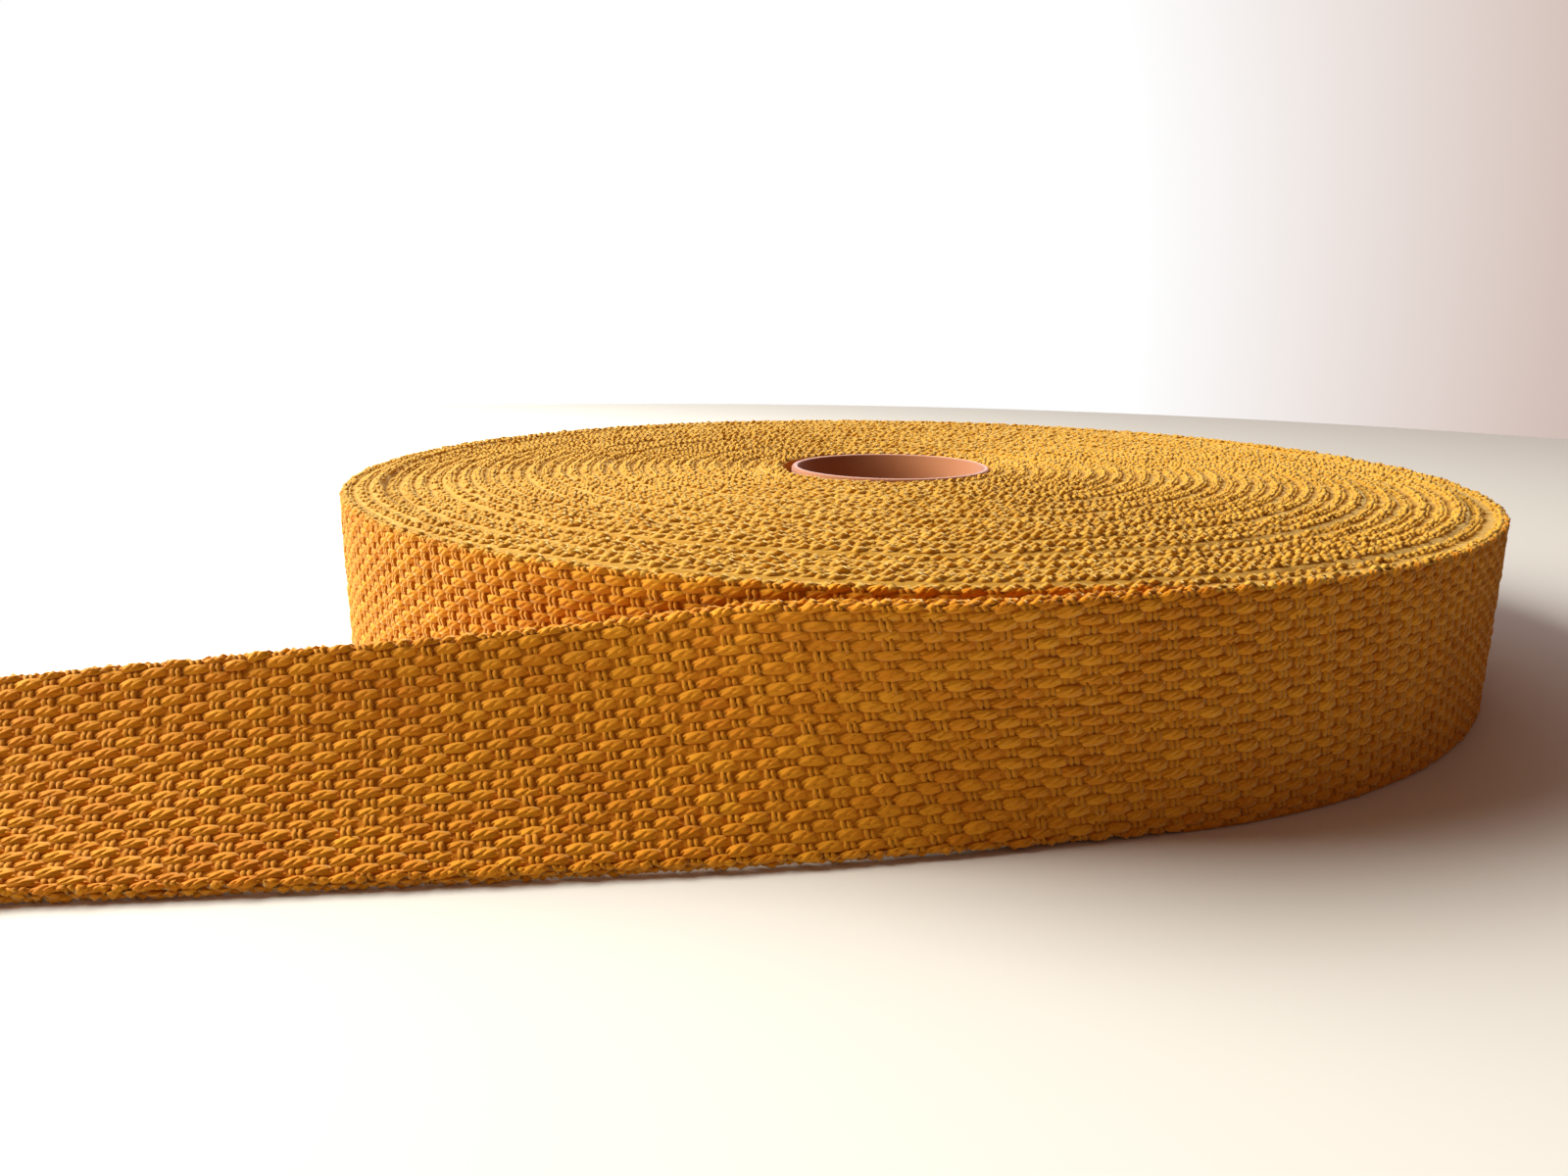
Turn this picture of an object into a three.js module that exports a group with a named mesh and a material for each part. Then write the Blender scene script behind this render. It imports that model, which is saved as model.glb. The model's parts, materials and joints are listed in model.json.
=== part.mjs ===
// A roll of heavy cotton webbing lying on its flat side, with its loose end peeling off the front.
// Millimetres, +Z up. The front of the roll is -Y, and the loose end runs off towards -X.
// The origin is the middle of the whole part's outline, on the surface that it rests on.

import * as THREE from 'three';
import { mergeVertices } from 'three/addons/utils/BufferGeometryUtils.js';

// Webbing
const WEBBING_WIDTH = 24.4;        // 25 mm tape, as it measures once woven
const WEBBING_THICKNESS = 2.0;
const SELVEDGE_TAPER = 1.0;       // how far in from each edge the tape reaches its full thickness
const SELVEDGE_THICKNESS = 1.1;   // thickness right at the edge
const GAP = 0.3;                  // clearance between neighbouring pieces
const PEEL_GAP = 0.5;             // clearance of the loose end to the turn beneath it

// Wound roll
const ROLL_RADIUS = 85.2;         // outside of the last turn, where the loose end leaves it
const DEPARTURE_ANGLE = 20;       // degrees from the front towards +X
const CORE_RADIUS = 15.8;         // outside of the paper tube that the webbing is wound on
const CORE_WALL = 1.0;
const CORE_HEIGHT = 24.5;
const ROLL_SECTORS = 120;
const CORE_SECTORS = 64;
const BAND_STEP = 0.4;            // radial run of the small step between two bands of turns

// Groups of turns stand a little higher or lower on the upper face, from the core outwards.
// The last turn stands on the surface, so its upper edge is the lowest.
const TURN_BANDS = [
  { fromRadius: 0, height: 24.7 },
  { fromRadius: 27, height: 24.9 },
  { fromRadius: 46, height: 25.0 },
  { fromRadius: 68, height: 24.5 },
  { fromRadius: 78.5, height: 24.8 },
  { fromRadius: 81.2, height: WEBBING_WIDTH },
];

// The roll is wound a little out of round: waves in a full turn, size, and where the first crest is.
const OUT_OF_ROUND = [
  { waves: 2, size: 0.30, crest: 50 },
  { waves: 3, size: 0.15, crest: 100 },
];

// Loose end: distance along it, plan direction (degrees from -X towards -Y), how far its upper
// edge leans back towards the roll, and how much its width is cupped, in degrees.
const LOOSE_END = [
  { along: 0, heading: 20, lean: 0, cup: 0 },
  { along: 10, heading: 19.5, lean: -1, cup: 14 },
  { along: 22, heading: 18, lean: 1, cup: 40 },
  { along: 36, heading: 14.5, lean: 13, cup: 46 },
  { along: 50, heading: 12.5, lean: 31, cup: 46 },
  { along: 65, heading: 12.3, lean: 40, cup: 46 },
  { along: 85, heading: 11.5, lean: 47, cup: 44 },
  { along: 105, heading: 10.7, lean: 54, cup: 44 },
  { along: 125, heading: 10.4, lean: 60, cup: 42 },
  { along: 145, heading: 10, lean: 67, cup: 34 },
  { along: 160, heading: 9.5, lean: 80, cup: 16 },
  { along: 174, heading: 9, lean: 90, cup: 0 },
  { along: 198, heading: 9, lean: 90, cup: 0 },
];
const LOOSE_END_STEP = 4;         // spacing of its cross-sections
const LOOSE_END_COLUMNS = 5;      // cross-section columns between the two tapered edges

const radians = THREE.MathUtils.degToRad;

// A closed skin over rings of points, each ring as long as the next. The rings join end to end
// in a circle, or are capped where each ring is two rows of points that face each other.
function skin(rings, closedCircle) {
  const size = rings[0].length;
  const positions = rings.flat().flatMap((point) => point.toArray());
  const indices = [];
  const quad = (a, b, c, d) => indices.push(a, b, c, a, c, d);
  const ringCount = closedCircle ? rings.length : rings.length - 1;
  for (let ring = 0; ring < ringCount; ring++) {
    const here = ring * size;
    const next = ((ring + 1) % rings.length) * size;
    for (let k = 0; k < size; k++) {
      const after = (k + 1) % size;
      quad(here + k, next + k, next + after, here + after);
    }
  }
  if (!closedCircle) {
    const last = (rings.length - 1) * size;
    for (let k = 0; k < size / 2 - 1; k++) {
      const across = size - 1 - k;
      quad(k, k + 1, across - 1, across);
      quad(last + k, last + across, last + across - 1, last + k + 1);
    }
  }
  const geometry = new THREE.BufferGeometry();
  geometry.setAttribute('position', new THREE.Float32BufferAttribute(positions, 3));
  geometry.setIndex(indices);
  return dropFlatTriangles(mergeVertices(geometry, 1e-4));
}

// Removes the triangles that merging has closed up to a line.
function dropFlatTriangles(geometry) {
  const index = geometry.index.array;
  const kept = [];
  for (let i = 0; i < index.length; i += 3) {
    const [a, b, c] = [index[i], index[i + 1], index[i + 2]];
    if (a !== b && b !== c && c !== a) kept.push(a, b, c);
  }
  geometry.setIndex(kept);
  geometry.computeVertexNormals();
  return geometry;
}

// A point at a radius and height, at an angle from the front (-Y) towards +X.
function polar(radius, angle, height) {
  const turn = radians(angle);
  return new THREE.Vector3(radius * Math.sin(turn), -radius * Math.cos(turn), height);
}

function outOfRound(angle) {
  return OUT_OF_ROUND.reduce(
    (sum, { waves, size, crest }) => sum + size * Math.cos(waves * radians(angle - crest)), 0);
}

// Section of the wound turns as (radius, height) pairs, from the bore's lower edge outwards,
// up the outside, and back over the bands of turns to the bore's upper edge.
function rollSection(outerRadius) {
  const boreRadius = CORE_RADIUS + GAP;
  const edgeRise = (WEBBING_THICKNESS - SELVEDGE_THICKNESS) / 2;
  const topHeight = TURN_BANDS.at(-1).height;
  const section = [
    [boreRadius, 0],
    [outerRadius - edgeRise, 0],
    [outerRadius, SELVEDGE_TAPER],
    [outerRadius, topHeight - SELVEDGE_TAPER],
    [outerRadius - edgeRise, topHeight],
  ];
  for (let band = TURN_BANDS.length - 1; band > 0; band--) {
    const { fromRadius, height } = TURN_BANDS[band];
    section.push([fromRadius + BAND_STEP / 2, height]);
    section.push([fromRadius - BAND_STEP / 2, TURN_BANDS[band - 1].height]);
  }
  section.push([boreRadius, TURN_BANDS[0].height]);
  return section;
}

// The outline is one turn of the spiral: it comes in by a thickness over the turn, and steps
// back out where the last turn ends and the loose end leaves.
function rollGeometry() {
  const rings = [];
  for (let sector = 0; sector <= ROLL_SECTORS; sector++) {
    const turned = sector / ROLL_SECTORS;
    const angle = DEPARTURE_ANGLE + 360 * turned;
    const outerRadius = ROLL_RADIUS - (WEBBING_THICKNESS + PEEL_GAP) * turned;
    const bulge = outOfRound(angle);
    rings.push(rollSection(outerRadius).map(([radius, height]) =>
      polar(radius + bulge * (radius / ROLL_RADIUS) ** 2, angle, height)));
  }
  return skin(rings, true);
}

function coreGeometry() {
  const inner = CORE_RADIUS - CORE_WALL;
  const profile = [[inner, 0], [CORE_RADIUS, 0], [CORE_RADIUS, CORE_HEIGHT], [inner, CORE_HEIGHT], [inner, 0]];
  const geometry = new THREE.LatheGeometry(
    profile.map(([radius, height]) => new THREE.Vector2(radius, height)), CORE_SECTORS);
  geometry.rotateX(Math.PI / 2);
  geometry.deleteAttribute('normal');
  geometry.deleteAttribute('uv');
  return dropFlatTriangles(mergeVertices(geometry, 1e-4));
}

// Smooth value of one column of the loose end's table at a distance along it.
function looseEndValue(column, along) {
  const rows = LOOSE_END;
  let i = rows.findIndex((row) => row.along > along) - 1;
  if (i < 0) i = rows.length - 2;
  const slope = (k) => {
    const before = rows[Math.max(k - 1, 0)];
    const after = rows[Math.min(k + 1, rows.length - 1)];
    return (after[column] - before[column]) / (after.along - before.along);
  };
  const span = rows[i + 1].along - rows[i].along;
  const t = (along - rows[i].along) / span;
  return rows[i][column] * (1 + 2 * t) * (1 - t) ** 2 + rows[i + 1][column] * t * t * (3 - 2 * t)
    + slope(i) * span * t * (1 - t) ** 2 + slope(i + 1) * span * t * t * (t - 1);
}

// Cross-section of the loose end: up the rear face and down the front, standing on its lower edge.
function looseEndRing(foot, along) {
  const heading = radians(looseEndValue('heading', along));
  const lean = looseEndValue('lean', along);
  const cup = looseEndValue('cup', along);
  const back = new THREE.Vector3(-Math.sin(heading), Math.cos(heading), 0);
  const up = new THREE.Vector3(0, 0, 1);
  const inset = SELVEDGE_TAPER / WEBBING_WIDTH;
  const columns = [0];
  for (let column = 0; column <= LOOSE_END_COLUMNS; column++) {
    columns.push(inset + (1 - 2 * inset) * column / LOOSE_END_COLUMNS);
  }
  columns.push(1);
  const front = [];
  const rear = [];
  const middle = foot.clone();
  columns.forEach((across, i) => {
    const before = columns[Math.max(i - 1, 0)];
    const chord = radians(lean + cup * (0.5 - (across + before) / 2));
    const run = (across - before) * WEBBING_WIDTH;
    middle.addScaledVector(up, run * Math.cos(chord)).addScaledVector(back, run * Math.sin(chord));
    const tilt = radians(lean + cup * (0.5 - across));
    const outward = up.clone().multiplyScalar(Math.sin(tilt)).addScaledVector(back, -Math.cos(tilt));
    const atEdge = i === 0 || i === columns.length - 1;
    const half = (atEdge ? SELVEDGE_THICKNESS : WEBBING_THICKNESS) / 2;
    front.push(middle.clone().addScaledVector(outward, half));
    rear.push(middle.clone().addScaledVector(outward, -half));
  });
  const ring = [...rear, ...front.reverse()];
  const lowest = Math.min(...ring.map((point) => point.z));
  ring.forEach((point) => { point.z -= lowest; });
  return ring;
}

function looseEndGeometry() {
  const length = LOOSE_END.at(-1).along;
  const steps = Math.round(length / LOOSE_END_STEP);
  const stepLength = length / steps;
  const startRadius = ROLL_RADIUS + outOfRound(DEPARTURE_ANGLE) - WEBBING_THICKNESS / 2;
  const foot = polar(startRadius, DEPARTURE_ANGLE, 0);
  const advance = (along, distance) => {
    const heading = radians(looseEndValue('heading', along));
    foot.x -= distance * Math.cos(heading);
    foot.y -= distance * Math.sin(heading);
  };
  advance(0, GAP);
  const rings = [];
  for (let step = 0; step <= steps; step++) {
    rings.push(looseEndRing(foot, step * stepLength));
    if (step < steps) advance((step + 0.5) * stepLength, stepLength);
  }
  return skin(rings, false);
}

const cotton = new THREE.MeshStandardMaterial({ color: 0xd6a041, roughness: 0.92, metalness: 0 });
const looseCotton = new THREE.MeshStandardMaterial({ color: 0xc4841c, roughness: 0.92, metalness: 0 });
const paperboard = new THREE.MeshStandardMaterial({ color: 0x9a7260, roughness: 0.95, metalness: 0 });

const centred = new THREE.Group();
const addPiece = (name, geometry, material) => {
  const mesh = new THREE.Mesh(geometry, material);
  mesh.name = name;
  centred.add(mesh);
};
addPiece('roll', rollGeometry(), cotton);
addPiece('loose_end', looseEndGeometry(), looseCotton);
addPiece('core', coreGeometry(), paperboard);

const outline = new THREE.Box3().setFromObject(centred);
const middle = outline.getCenter(new THREE.Vector3());
centred.position.set(-middle.x, -middle.y, -outline.min.z);

const part = new THREE.Group();
part.add(centred);

export default part;
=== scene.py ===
# %% [markdown]
# A roll of cotton webbing, woven and wound
#
# Cotton webbing is a narrow, thick tape. Plump twisted yarns, the warp, run along it, and thin
# doubled yarns, the weft, cross it and hold them down. It could be a smooth spiral with a pattern
# of cloth on it, but the yarns stand out by half a millimetre and shade each other, which a flat
# pattern can't show. So the tape is woven flat here, yarn by yarn, and then wound up by one
# formula, as the real tape is woven first and wound afterwards.
# The frame gives the place of the paper core, round which everything is wound. The sizes below
# are those of the solids that the cloth stands for.

# %% Load the frame
import json
import math

import bmesh
import bpy
import numpy as np
from mathutils import Matrix, Vector

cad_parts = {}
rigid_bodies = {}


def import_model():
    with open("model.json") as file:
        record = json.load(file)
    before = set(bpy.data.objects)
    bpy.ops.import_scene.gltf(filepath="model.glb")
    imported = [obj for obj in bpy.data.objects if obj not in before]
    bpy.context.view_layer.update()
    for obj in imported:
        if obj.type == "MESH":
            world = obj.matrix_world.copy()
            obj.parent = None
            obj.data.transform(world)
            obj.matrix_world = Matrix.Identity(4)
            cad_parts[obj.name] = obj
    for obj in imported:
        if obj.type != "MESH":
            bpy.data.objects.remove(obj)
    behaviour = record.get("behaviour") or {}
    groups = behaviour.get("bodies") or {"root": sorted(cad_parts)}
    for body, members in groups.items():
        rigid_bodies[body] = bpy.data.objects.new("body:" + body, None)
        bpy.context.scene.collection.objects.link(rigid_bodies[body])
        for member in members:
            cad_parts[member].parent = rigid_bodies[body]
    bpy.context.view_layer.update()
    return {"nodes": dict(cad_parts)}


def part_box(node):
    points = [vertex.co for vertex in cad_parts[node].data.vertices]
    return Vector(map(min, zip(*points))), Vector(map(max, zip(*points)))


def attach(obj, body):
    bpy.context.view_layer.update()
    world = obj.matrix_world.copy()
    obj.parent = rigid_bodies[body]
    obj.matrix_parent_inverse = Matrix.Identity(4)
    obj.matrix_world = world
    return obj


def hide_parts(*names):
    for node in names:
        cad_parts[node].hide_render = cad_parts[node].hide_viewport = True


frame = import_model()
print("frame nodes:", sorted(frame["nodes"]))

# %% [markdown]
# The sizes of the tape come first, in millimetres. A warp yarn shows on the face as a float, a
# lozenge that passes over two picks of weft, and then dives under the next two, so one repeat is
# 4 mm long. Neighbouring rows are half a repeat apart, like bricks in a wall.

# %% Tape sizes, in millimetres
MM = 0.001
TAPE_WIDTH = 24.4
TAPE_THICKNESS = 2.0
HALF_THICKNESS = TAPE_THICKNESS / 2
FLAT_HALF = TAPE_WIDTH / 2 - HALF_THICKNESS            # where the flat face turns into the round edge
EDGE_REACH = FLAT_HALF + HALF_THICKNESS * math.pi / 2  # face distance from the middle to the very edge
REPEAT = 4.0
ROWS = 25
ROW_PITCH = 2 * EDGE_REACH / (ROWS + 1)
SKEW = 0.125                                           # how far the weft leans from upright
print(f"{ROWS} rows of floats, {ROW_PITCH:.3f} mm apart")

# %% [markdown]
# The roll is wound on a core, and each turn lies a thickness further in than the one before. A
# real roll is never quite round or level, so a few waves and bands of turns are stated
# too. The loose end is a table of where it goes: thirteen places are enough, because a smooth
# curve joins them.

# %% Roll and loose end sizes, in millimetres and degrees
ROLL_RADIUS = 85.2
DEPARTURE_ANGLE = math.radians(20)
PEEL_GAP = 0.5              # the outermost turn comes in by this much more, where the loose end leaves
CORE_RADIUS = 15.8
CORE_WALL = 1.0
JOINT_GAP = 0.3             # between the solids of the roll, the loose end and the core
TURNS = (ROLL_RADIUS - PEEL_GAP - CORE_RADIUS - JOINT_GAP) / TAPE_THICKNESS - 1

# waves in a full turn, size, angle of the first crest
OUT_OF_ROUND = [(2, 0.30, 50), (3, 0.15, 100)]
# inner radius of a band of turns, and how far its turns stand above the outermost turn
TURN_BANDS = [(0, 0.3), (27, 0.5), (46, 0.6), (69.5, 0.1), (78.5, 0.4), (81.2, 0.0)]
BAND_STEP = 0.4
# size of a wave in the height of the turns, waves in a full turn, change in each turn, first phase
HEIGHT_WAVES = [(0.08, 0, 9.1, 1.3), (0.07, 2, 1.7, 0), (0.05, 7, 5.3, 0)]
LEVEL_TURNS = 0.9           # the outermost turn lies level
# distance along the loose end, plan direction, lean towards the roll, cupping
LOOSE_END = np.array([
    (0, 20, 0, 0), (10, 19.5, -1, 14), (22, 18, 1, 40), (36, 14.5, 13, 46), (50, 12.5, 31, 46),
    (65, 12.3, 40, 46), (85, 11.5, 47, 44), (105, 10.7, 54, 44), (125, 10.4, 60, 42),
    (145, 10, 67, 34), (160, 9.5, 80, 16), (174, 9, 90, 0), (198, 9, 90, 0)])
LOOSE_LENGTH = LOOSE_END[-1, 0] + JOINT_GAP
FLOOR_GAP = 0.02            # the lowest yarns lie this far above the floor

core_low, core_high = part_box("core")
AXIS = np.array([(core_low.x + core_high.x) / 2, (core_low.y + core_high.y) / 2]) / MM
print(f"{TURNS:.1f} turns, axis at {AXIS.round(2)} mm")

# %% [markdown]
# The camera stands low and close in front of the roll, as in the photograph: 183 mm in front of
# the roll's axis and 48 mm above the floor, with a wide 26 mm lens that looks down a little. It
# could be placed by eye, but its place was worked out from the roll's rim and foot and from the
# repeats of the weave, so that the picture agrees with the sizes above.

# %% Camera
def show(name, data):
    made = bpy.data.objects.new(name, data)
    bpy.context.scene.collection.objects.link(made)
    return made


CAMERA_AHEAD = 182.9
CAMERA_HEIGHT = 48.1
CAMERA_YAW = -0.0925
CAMERA_PITCH = 0.2372
CAMERA_ROLL = -0.0063
CAMERA_LENS = 26.0

heading = Vector((math.sin(CAMERA_YAW), math.cos(CAMERA_YAW), 0))
sideways = Vector((math.cos(CAMERA_YAW), -math.sin(CAMERA_YAW), 0))
down = Vector((0, 0, -1))
look = heading * math.cos(CAMERA_PITCH) + down * math.sin(CAMERA_PITCH)
level_down = down * math.cos(CAMERA_PITCH) - heading * math.sin(CAMERA_PITCH)
image_right = sideways * math.cos(CAMERA_ROLL) + level_down * math.sin(CAMERA_ROLL)
image_down = level_down * math.cos(CAMERA_ROLL) - sideways * math.sin(CAMERA_ROLL)

camera = show("camera", bpy.data.cameras.new("camera"))
turn = Matrix((image_right, -image_down, -look)).transposed()
place = Vector((AXIS[0], AXIS[1] - CAMERA_AHEAD, CAMERA_HEIGHT)) * MM
camera.matrix_world = Matrix.Translation(place) @ turn.to_4x4()
camera.data.sensor_width = 36
camera.data.lens = CAMERA_LENS
camera.data.clip_start = 0.01
bpy.context.scene.camera = camera
bpy.context.scene.view_settings.view_transform = "Standard"
print("camera at", [round(v, 4) for v in place])

# %% [markdown]
# The studio. A pale matt floor carries the roll. One soft key light on the left rakes over the
# top of the roll, and the world is white behind the roll and dim and warm in front of it, like a
# room with daylight from behind on the left. More lamps could fill the front instead, but each
# would add a shadow of its own under every yarn. Three small helpers are first needed here: one
# turns a hex colour into the linear values that shaders use, one makes a material with one
# shader, and one makes a mesh from points in millimetres.

# %% Helpers for colours, finishes and meshes
def srgb(code):
    parts = [int(code[i:i + 2], 16) / 255 for i in (0, 2, 4)]
    linear = [c / 12.92 if c <= 0.04045 else ((c + 0.055) / 1.055) ** 2.4 for c in parts]
    return (*linear, 1.0)


def new_finish(name, looks):
    finish = bpy.data.materials.new(name)
    finish.use_nodes = True
    for key, value in looks.items():
        finish.node_tree.nodes["Principled BSDF"].inputs[key].default_value = value
    return finish


def plain_mesh(name, points_mm, faces, uvs=None):
    mesh = bpy.data.meshes.new(name)
    mesh.from_pydata((np.asarray(points_mm, float) * MM).tolist(), [], faces)
    if uvs is not None:
        layer = mesh.uv_layers.new(name="yarn")
        corners = np.zeros(len(mesh.loops), np.int32)
        mesh.loops.foreach_get("vertex_index", corners)
        layer.data.foreach_set("uv", np.asarray(uvs, np.float32)[corners].ravel())
    mesh.shade_smooth()
    mesh.update()
    return mesh


print("mid grey in linear light:", round(srgb("808080")[0], 3))

# %% Floor
FLOOR_RADIUS = 460
FLOOR_CORNERS = 96
rim = [(FLOOR_RADIUS * math.cos(2 * math.pi * i / FLOOR_CORNERS),
        FLOOR_RADIUS * math.sin(2 * math.pi * i / FLOOR_CORNERS), 0) for i in range(FLOOR_CORNERS)]
floor = show("floor", plain_mesh("floor", rim, [tuple(range(FLOOR_CORNERS))]))
floor.data.materials.append(
    new_finish("matt white floor", {"Base Color": srgb("E6E6E8"), "Roughness": 0.9}))
print("floor of", 2 * FLOOR_RADIUS, "mm across")

# %% Key light
KEY_PLACE = Vector((-420, 60, 290))
KEY_TARGET = Vector((0, 0, 10))
KEY_SIZE = 460
KEY_WATTS = 8.2
key_lamp = bpy.data.lights.new("key", "AREA")
key_lamp.size = KEY_SIZE * MM
key_lamp.energy = KEY_WATTS
key_lamp.color = srgb("FFFDEC")[:3]
key_light = show("key", key_lamp)
key_light.location = KEY_PLACE * MM
key_light.rotation_euler = (KEY_TARGET - KEY_PLACE).to_track_quat("-Z", "Y").to_euler()
print("key light", round((KEY_TARGET - KEY_PLACE).length), "mm from the roll")

# %% World
BRIGHT_SIDE = (-0.5, 0.87, 0.0)
DIM_SIDE_STRENGTH = 0.155


def add_node(tree, kind, inputs=None, **settings):
    """Adds a node. Each input is a plain value, a socket, or a node whose first output is meant."""
    new = tree.nodes.new(kind)
    for key, value in settings.items():
        setattr(new, key, value)
    for key, value in (inputs or {}).items():
        source = value.outputs[0] if isinstance(value, bpy.types.Node) else value
        if isinstance(source, bpy.types.NodeSocket):
            tree.links.new(source, new.inputs[key])
        else:
            new.inputs[key].default_value = source
    return new


world = bpy.data.worlds.new("studio")
world.use_nodes = True
bpy.context.scene.world = world
world_tree = world.node_tree
background = world_tree.nodes["Background"]
direction = add_node(world_tree, "ShaderNodeTexCoord").outputs["Generated"]
towards_back = add_node(world_tree, "ShaderNodeVectorMath", {0: direction, 1: BRIGHT_SIDE},
                        operation="DOT_PRODUCT").outputs["Value"]
brightness = add_node(world_tree, "ShaderNodeMapRange",
                      {"Value": towards_back, "From Min": 0.2, "From Max": 0.75,
                       "To Min": DIM_SIDE_STRENGTH, "To Max": 1.0}).outputs[0]
tint = add_node(world_tree, "ShaderNodeMixRGB", {"Fac": brightness, 1: srgb("FFB486"), 2: srgb("FFFFFF")})
world_tree.links.new(tint.outputs[0], background.inputs["Color"])
world_tree.links.new(brightness, background.inputs["Strength"])
print("world nodes:", len(world_tree.nodes))

# %% [markdown]
# The wound form. Every point of the cloth has three numbers: how far along the tape it is from
# the cut end, how far across, and how far out from the middle of its thickness. On the roll the
# tape follows a spiral that comes in by its thickness in each turn. Modifiers could bend the
# cloth along a curve, but one function for every piece is surer: the yarns can't drift away from
# the cloth under them.

# %% The path of the wound tape
def out_of_round(angle):
    return sum(size * np.cos(waves * (angle - math.radians(crest))) for waves, size, crest in OUT_OF_ROUND)


def outer_radius(turned):
    first = ROLL_RADIUS - (TAPE_THICKNESS + PEEL_GAP) * turned
    return np.where(turned < 1, first, ROLL_RADIUS - PEEL_GAP - TAPE_THICKNESS * turned)


turned_steps = np.arange(0, TURNS, 1 / 360)
middle_radius = outer_radius(turned_steps) - HALF_THICKNESS
arc_steps = np.concatenate([[0], np.cumsum(np.diff(turned_steps) * 2 * np.pi * middle_radius[1:])])
TAPE_LENGTH = LOOSE_LENGTH + arc_steps[-1]
print(f"tape length {TAPE_LENGTH / 1000:.2f} m, of which {arc_steps[360]:.0f} mm in the last turn")


def turn_rise(turned, angle):
    """How far the tape stands above its lowest place: its band's height, and a little unevenness."""
    edges = np.array([low for low, _ in TURN_BANDS[1:]])
    knots = np.sort(np.concatenate([edges - BAND_STEP, edges + BAND_STEP]))
    heights = np.repeat([rise for _, rise in TURN_BANDS], 2)[1:-1]
    rise = np.interp(outer_radius(turned), knots, heights)
    wander = sum(size * np.sin(angle * waves + turned * change + phase)
                 for size, waves, change, phase in HEIGHT_WAVES)
    return rise + wander * np.clip(turned - LEVEL_TURNS, 0, 1)


def wind(along, across, out):
    """Places points of the tape on the roll."""
    turned = np.interp(along - LOOSE_LENGTH, arc_steps, turned_steps)
    angle = DEPARTURE_ANGLE + 2 * np.pi * turned
    radius = outer_radius(turned) - HALF_THICKNESS + out
    radius = radius + out_of_round(angle) * (radius / ROLL_RADIUS) ** 2
    height = TAPE_WIDTH / 2 + across + turn_rise(turned, angle)
    return np.stack([AXIS[0] + radius * np.sin(angle), AXIS[1] - radius * np.cos(angle), height], -1)


# %% [markdown]
# The path of the loose end. The tape leaves the roll standing on its edge. It then leans back and
# cups, until it lies flat near its cut end. A cloth simulation could find such a shape, but the
# table of directions, leans and cupping is walked along instead: it bends the tape where the
# photograph does, and keeps its length and width exact. The walk fills a net of points every
# half millimetre along the tape, and any other point of the tape is found between them.

# %% Walk along the loose end
def table_value(column, along):
    """A column of the loose end's table, with a smooth curve between its rows."""
    knots = LOOSE_END[:, 0]
    values = LOOSE_END[:, column]
    before = np.maximum(np.arange(len(knots)) - 1, 0)
    after = np.minimum(np.arange(len(knots)) + 1, len(knots) - 1)
    slopes = (values[after] - values[before]) / (knots[after] - knots[before])
    i = np.clip(np.searchsorted(knots, along, side="right") - 1, 0, len(knots) - 2)
    span = knots[i + 1] - knots[i]
    t = (along - knots[i]) / span
    return (values[i] * (1 + 2 * t) * (1 - t) ** 2 + values[i + 1] * t * t * (3 - 2 * t)
            + slopes[i] * span * t * (1 - t) ** 2 + slopes[i + 1] * span * t * t * (t - 1))


STATION = 0.5
OVERRUN = 3
stations = np.arange(-JOINT_GAP - OVERRUN, LOOSE_END[-1, 0] + OVERRUN, STATION)
walked = np.clip(stations, 0, LOOSE_END[-1, 0])
way = np.radians(table_value(1, walked))
steps = np.stack([-np.cos(way), -np.sin(way)], -1)
first_step = int(np.searchsorted(stations, 0))
plan = np.concatenate([np.zeros((1, 2)), np.cumsum((steps[1:] + steps[:-1]) / 2 * STATION, 0)])
start_radius = ROLL_RADIUS + out_of_round(DEPARTURE_ANGLE) - HALF_THICKNESS
start = AXIS + start_radius * np.array([math.sin(DEPARTURE_ANGLE), -math.cos(DEPARTURE_ANGLE)])
plan = plan - plan[first_step] + start + (stations[first_step] + JOINT_GAP) * steps[first_step]
print("loose end from", plan[first_step].round(1), "to", plan[-1].round(1), "mm in plan")

# %% Lean and cup the loose end
COLUMNS = 49
ROUND_SHARE = 0.04          # share of the width that each round edge takes
EDGE_HALF = 0.55            # half the thickness at the very edge
UP = np.array([0.0, 0.0, 1.0])
back = np.stack([-np.sin(way), np.cos(way), np.zeros_like(way)], -1)
lean = table_value(2, walked)
cup = table_value(3, walked)
columns = np.linspace(0, 1, COLUMNS)
middle = [np.column_stack([plan, np.zeros(len(plan))])]
for column in range(1, COLUMNS):
    chord = np.radians(lean + cup * (0.5 - (columns[column] + columns[column - 1]) / 2))[:, None]
    middle.append(middle[-1] + TAPE_WIDTH / (COLUMNS - 1) * (np.cos(chord) * UP + np.sin(chord) * back))
middle = np.stack(middle, 1)
tilt = np.radians(lean[:, None] + cup[:, None] * (0.5 - columns[None]))[..., None]
outward = np.sin(tilt) * UP - np.cos(tilt) * back[:, None]
half = np.interp(columns, [0, ROUND_SHARE, 1 - ROUND_SHARE, 1], [EDGE_HALF, 1, 1, EDGE_HALF])[None, :, None]
lowest = np.minimum(middle + outward * half, middle - outward * half)[..., 2].min(1)
middle[..., 2] -= lowest[:, None]
print(f"loose end stands {middle[0, -1, 2]:.1f} mm high at the roll, {middle[-1, -1, 2]:.1f} mm at its end")

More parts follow.
